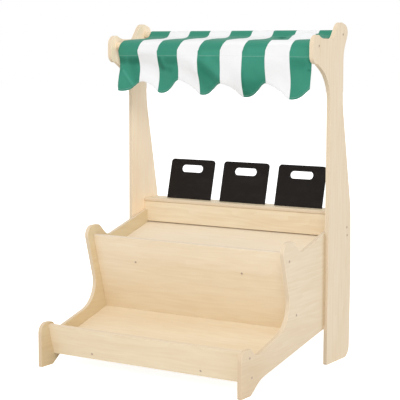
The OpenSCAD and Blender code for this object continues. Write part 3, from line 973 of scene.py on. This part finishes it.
def canopy_points(columns):
    """Grid of points of the cloth, its UV maps by name and the distance along it.

    Rows go along the cloth and columns across it. A column's x goes from its place at the rear rod to its
    place at the front rod in proportion to y. The hanging rows are spread from the front rod's axis to the
    hem, and each point there moves back by the fold depth.
    """
    path, roof_from, hang_from = profile_of_cloth()
    u = np.linspace(0, 1, columns)[None, :]
    marks = np.linspace(0, 1, len(FRONT_MARKS))
    x_front, x_rear = (smooth_through(u, marks, places) for places in (FRONT_MARKS, REAR_MARKS))
    front, rear = middle("front_rod"), middle("rear_rod")
    rows = len(path)
    y, z = (np.repeat(path[:, k:k + 1], columns, axis=1) for k in (0, 1))
    back = np.clip((y - front[1]) / (rear[1] - front[1]), 0, 1)
    lean = np.interp(z - front[2], *LEAN)
    lean = np.where(back > 0, LEAN[1][-1] + (1 - LEAN[1][-1]) * back, lean)
    x = x_front + lean * (x_rear - x_front)

    row = np.arange(rows)[:, None]
    fade = np.clip((y - front[1]) / 0.02, 0, 1) * np.clip((rear[1] - 0.012 - y) / 0.012, 0, 1)
    z = z + np.where((row >= roof_from) & (row < hang_from), roof_wave(u, y - rear[1], back) * fade, 0)

    step = np.clip(row - hang_from + 1, 0, HANG_ROWS) / HANG_ROWS
    drop = step * (front[2] - hem_height(x_front))
    hanging = step > 0
    z = np.where(hanging, front[2] - drop, z)
    y = np.where(hanging, y + fold_depth(np.repeat(u, rows, axis=0), drop), y)
    x = x + np.where(hanging, 0.0012 * np.sin(19 * u + 30 * drop) * np.clip(drop / 0.1, 0, 1), 0)
    points = np.stack([x, y, z], axis=-1)
    run = length_along(points)
    from_rod = run - run[hang_from - 1:hang_from]
    # The painted shade of the folds stops at the seam, because the cloth over it is pressed flat; the painted
    # light does not
    tone = soft_lines(u, from_rod, PAINTED_FOLD_SHADING, power=3)
    under_seam = np.clip((from_rod - bpy.context.scene.stall_canopy.seam_drop) / 0.003, 0, 1)
    tone = 1 + np.maximum(tone, 0) + np.minimum(tone, 0) * under_seam
    stripes = np.repeat(u * (len(FRONT_MARKS) - 1), rows, axis=0)
    uvs = {"Cloth": (stripes, from_rod), "Hem": (x, run[-1:] - run), "Tone": (tone, tone)}
    return points, {name: np.stack(pair, axis=-1) for name, pair in uvs.items()}, run


def sleeve_lining(points, stripe_uv):
    """Grid of the strip that closes the front sleeve behind its rod, its UV maps and the distance along it.

    Each column is a quadratic curve: from the underside of the roof behind the rod, towards a point under
    the rod, to the seam on the back of the hanging cloth.
    """
    seam_drop = bpy.context.scene.stall_canopy.seam_drop
    front = middle("front_rod")
    roof_row = np.abs(points[:, 0, 1] - front[1] - LINING_RUN).argmin()
    seam_rows = np.abs(stripe_uv[..., 1] - seam_drop).argmin(axis=0)
    top = points[roof_row] - np.array([0, 0, LINING_GAP])
    foot = points[seam_rows, np.arange(points.shape[1])] + np.array([0, LINING_GAP, 0])
    pull = (top + foot) / 2
    pull[:, 1:] = front[1:] + LINING_PULL
    grid = bent_line(top, pull, foot, np.linspace(0, 1, 14)[:, None, None])
    run = length_along(grid)
    stripes = np.repeat(stripe_uv[:1, :, 0], len(grid), axis=0)
    # Its hem lies out of sight, so the distance over it stays past the stitches, and it has no painted fold
    # shading
    uvs = {
        "Cloth": np.stack([stripes, seam_drop + run - run[-1:]], axis=-1),
        "Hem": np.stack([grid[..., 0], np.full(run.shape, 0.1)], axis=-1),
        "Tone": np.ones((*run.shape, 2)),
    }
    return grid, uvs, run


def hang_cloth(name, points, uvs, material):
    """A piece of the canopy's cloth from its grid of points and its UV maps."""
    piece = add_piece(name, mesh_from_grid(name, points, uvs), material)
    solid = piece.modifiers.new("Cloth thickness", "SOLIDIFY")
    solid.thickness = bpy.context.scene.stall_canopy.cloth_thickness
    solid.offset = 0.0
    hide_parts("canopy")
    return piece


def turned_ring(profile, centre, axis, sides=20):
    """A surface of revolution: profile [radius, height] carried round a unit axis at centre."""
    helper = np.array([0.0, 0.0, 1.0]) if abs(axis[2]) < 0.9 else np.array([1.0, 0.0, 0.0])
    side = np.cross(helper, axis)
    side /= np.linalg.norm(side)
    angle = np.linspace(0, 2 * math.pi, sides, endpoint=False)
    ring = np.cos(angle)[:, None] * side + np.sin(angle)[:, None] * np.cross(axis, side)
    return centre + profile[:, None, :1] * ring[None] + profile[:, None, 1:] * axis


def lid(ring):
    """Faces that close a ring with an even number of vertices, as strips from one half of it to the other."""
    k = np.arange(len(ring) // 2 - 1)
    return np.stack([ring[k], ring[k + 1], ring[-2 - k], ring[-1 - k]], axis=-1)


class STALL_OT_boards(bpy.types.Operator):
    """Round the plywood boards' edges and give each its own veneer"""

    bl_idname = "stall.boards"
    bl_label = "Plywood boards"

    def execute(self, context):
        wood = context.scene.stall_wood
        quarter = math.pi / 2
        for number, name in enumerate(UPRIGHT_BOARDS):
            # Grain runs up the post and from front to back in the side panels
            turn = (0.0, quarter, 0.0) if "post" in name else (-quarter, -quarter, 0.0)
            lay_veneer(name, wood.side_colour, wood.edge_round, turn, 3.1 * number + 0.7, figure=0.65)
        for number, (name, lean) in enumerate({**SLOPING_BOARDS, **LEVEL_BOARDS}.items()):
            slope, lines = (wood.slope, 0.5) if name in SLOPING_BOARDS else (0.0, 0.8)
            turn = (math.radians(lean) - slope, 0.0, 0.0)
            lay_veneer(name, wood.face_colour, wood.edge_round * 0.6, turn, 5.3 * number + 11.2, lines=lines)
        return {"FINISHED"}


def lay_veneer(name, colour, radius, turn, seed, **look):
    """Gives a board plywood of its own, with its factors of tone and painted light, and rounded edges."""
    colour = times(colour, PAINTED_LIGHT_AND_TONES.get(name, 1.0))
    dress(name, plywood_material(name, colour, turn, seed, **look))
    round_edges(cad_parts[name], radius)


def dress(name, material):
    """Gives a CAD node its material."""
    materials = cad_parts[name].data.materials
    materials.clear()
    materials.append(material)


class STALL_OT_rods(bpy.types.Operator):
    """Give the two rods their turned wood"""

    bl_idname = "stall.rods"
    bl_label = "Rods"

    def execute(self, context):
        material = rod_material()
        for name in RODS:
            dress(name, material)
        return {"FINISHED"}


class STALL_OT_blackboards(bpy.types.Operator):
    """Paint the three blackboards and soften their edges"""

    bl_idname = "stall.blackboards"
    bl_label = "Blackboards"

    def execute(self, context):
        material = slate_material()
        for name in BLACKBOARDS:
            dress(name, material)
            round_edges(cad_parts[name], context.scene.stall_boards.edge_round)
        return {"FINISHED"}


class STALL_OT_canopy(bpy.types.Operator):
    """Hang the striped cloth over the two rods and close its front sleeve"""

    bl_idname = "stall.canopy"
    bl_label = "Canopy"

    def execute(self, context):
        points, uvs, run = canopy_points(columns=217)
        seam_row = profile_of_cloth()[1] + REAR_SEAM_ROWS
        material = cloth_material(float(uvs["Cloth"][seam_row, :, 1].mean()))
        piece = hang_cloth("striped_canopy", points, uvs, material)
        points, uvs, run = sleeve_lining(points, uvs["Cloth"])
        piece = hang_cloth("front_sleeve_lining", points, uvs, material)
        return {"FINISHED"}


class STALL_OT_screws(bpy.types.Operator):
    """Set a low screw head at each joint of the boards"""

    bl_idname = "stall.screws"
    bl_label = "Screws"

    def execute(self, context):
        profile = HEAD * [context.scene.stall_screws.diameter / 2, 1.0]
        heads = np.stack([turned_ring(profile, centre, axis) for centre, axis in screw_places()])
        count, rows, sides = heads.shape[:3]
        index = np.arange(rows * sides).reshape(rows, sides)
        closed = np.concatenate([index, index[:, :1]], axis=1)
        faces = np.concatenate([lid(index[0]), grid_faces(closed.T)])
        first = np.arange(count)[:, None, None] * index.size
        shares = np.broadcast_to(HEAD[:, None, :1] * [1.0, 0.0], (count, rows, sides, 2))
        mesh = mesh_from_faces(
            "screw_heads", heads.reshape(-1, 3), (first + faces).reshape(-1, 4), {"Head": shares},
        )
        add_piece("screw_heads", mesh, screw_material())
        return {"FINISHED"}


def screw_places():
    """Centre and outward axis of every screw head."""
    slope = bpy.context.scene.stall_wood.slope
    up = np.array([0, -math.sin(slope), math.cos(slope)])
    out = np.array([0, -math.cos(slope), -math.sin(slope)])
    places = []
    for x in (-SCREW_REACH, SCREW_REACH):
        for board, (along, aside) in BOARD_SCREWS.items():
            centre = middle(board) * [0, 1, 1] + [x + aside, 0, 0]
            places.append((centre + up * along + out * BOARD_HALF, out))
    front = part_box("right_side_panel")[0].y
    for side in (-1.0, 1.0):
        for board, spots in SIDE_SCREWS.items():
            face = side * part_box(board)[1].x
            places += [(np.array([face, front + y, z]), np.array([side, 0, 0])) for y, z in spots]
    return places


class STALL_OT_stage(bpy.types.Operator):
    """Set the floor, the soft lights and the camera"""

    bl_idname = "stall.stage"
    bl_label = "Stage"

    def execute(self, context):
        scene = context.scene
        points = np.array([[[-1, -1, 0], [1, -1, 0]], [[-1, 1, 0], [1, 1, 0]]]) * FLOOR_REACH
        mesh = mesh_from_grid("floor", points, {"Floor": points[:, :, :2]})
        floor = bpy.data.objects.new("floor", mesh)
        scene.collection.objects.link(floor)
        mesh.materials.append(floor_material())
        sky_world(scene)
        for name, (place, size, power) in LAMPS.items():
            lamp(name, place, size, power)
        set_camera(scene)
        return {"FINISHED"}


def floor_material():
    """White floor: to the camera it glows a little on top of its lit colour, so only a shadow shows on it."""
    material, tree, shader = shader_material("White floor")
    set_inputs(shader, {
        "Base Color": (0.85, 0.85, 0.85, 1), "Roughness": 0.9, "Specular IOR Level": 0.0,
        "Emission Color": (1, 1, 1, 1),
    })
    seen = node(tree, "LightPath").outputs["Is Camera Ray"]
    link(tree, (maths(tree, "MULTIPLY", seen, 0.78), shader.inputs["Emission Strength"]))
    return material


def sky_world(scene):
    """Even white surroundings, a little brighter to the camera and in reflections than as light."""
    scene.world = bpy.data.worlds.new("White studio")
    scene.world.use_nodes = True
    tree = clear_nodes(scene.world.node_tree)
    lit, seen = node(tree, "Background"), node(tree, "Background")
    set_inputs(lit, {"Color": (1, 1, 1, 1), "Strength": 0.80})
    set_inputs(seen, {"Color": (1, 1, 1, 1), "Strength": 1.0})
    rays = node(tree, "LightPath").outputs
    shown = maths(tree, "MAXIMUM", rays["Is Camera Ray"], rays["Is Glossy Ray"])
    shown = maths(tree, "MAXIMUM", shown, rays["Is Transmission Ray"])
    mix, output = node(tree, "MixShader"), node(tree, "OutputWorld")
    link(
        tree, (shown, mix.inputs[0]), (lit.outputs[0], mix.inputs[1]), (seen.outputs[0], mix.inputs[2]),
        (mix.outputs[0], output.inputs[0]),
    )


def lamp(name, place, size, power):
    """A square soft light that faces the middle of the stall."""
    data = bpy.data.lights.new(name, "AREA")
    data.shape = "SQUARE"
    data.size = size
    data.energy = power
    made = bpy.data.objects.new(name, data)
    bpy.context.scene.collection.objects.link(made)
    made.location = place
    aim = LAMP_AIM - np.array(place)
    down = math.atan2(aim[2], math.hypot(aim[0], aim[1]))
    made.rotation_euler = (math.pi / 2 + down, 0.0, math.atan2(-aim[0], aim[1]))


def set_camera(scene):
    """Camera at the photograph's viewpoint."""
    data = bpy.data.cameras.new("camera")
    data.sensor_width = SENSOR_WIDTH
    data.lens = FOCAL_PIXELS / PICTURE_PIXELS * SENSOR_WIDTH
    data.clip_end = 100.0
    camera = bpy.data.objects.new("camera", data)
    scene.collection.objects.link(camera)
    camera.location = CAMERA_PLACE
    camera.rotation_euler = (math.pi / 2 - CAMERA_DOWN, CAMERA_ROLL, CAMERA_TURN)
    scene.camera = camera


class STALL_PT_panel(bpy.types.Panel):
    """Buttons for the pieces of the stall"""

    bl_label = "Play Market Stall"
    bl_idname = "STALL_PT_panel"
    bl_space_type = "VIEW_3D"
    bl_region_type = "UI"
    bl_category = "Stall"

    def draw(self, context):
        layout = self.layout
        for name, group in SETTINGS.items():
            box = layout.box()
            for key in group.__annotations__:
                box.prop(getattr(context.scene, name), key)
        for operator in OPERATORS:
            layout.operator(operator.bl_idname)


OPERATORS = (
    STALL_OT_boards, STALL_OT_rods, STALL_OT_blackboards, STALL_OT_canopy, STALL_OT_screws, STALL_OT_stage,
)
CLASSES = (*SETTINGS.values(), *OPERATORS, STALL_PT_panel)


def register():
    """Registers the classes and the settings."""
    for item in CLASSES:
        bpy.utils.register_class(item)
    for name, group in SETTINGS.items():
        setattr(bpy.types.Scene, name, PointerProperty(type=group))


def unregister():
    """Removes the settings and the classes."""
    for name in SETTINGS:
        delattr(bpy.types.Scene, name)
    for item in reversed(CLASSES):
        bpy.utils.unregister_class(item)


def main():
    """Builds the looks piece by piece."""
    register()
    bpy.context.scene.view_settings.view_transform = "Standard"
    bpy.ops.stall.boards()
    bpy.ops.stall.rods()
    bpy.ops.stall.blackboards()
    bpy.ops.stall.canopy()
    bpy.ops.stall.screws()
    bpy.ops.stall.stage()


if __name__ == "__main__":
    main()
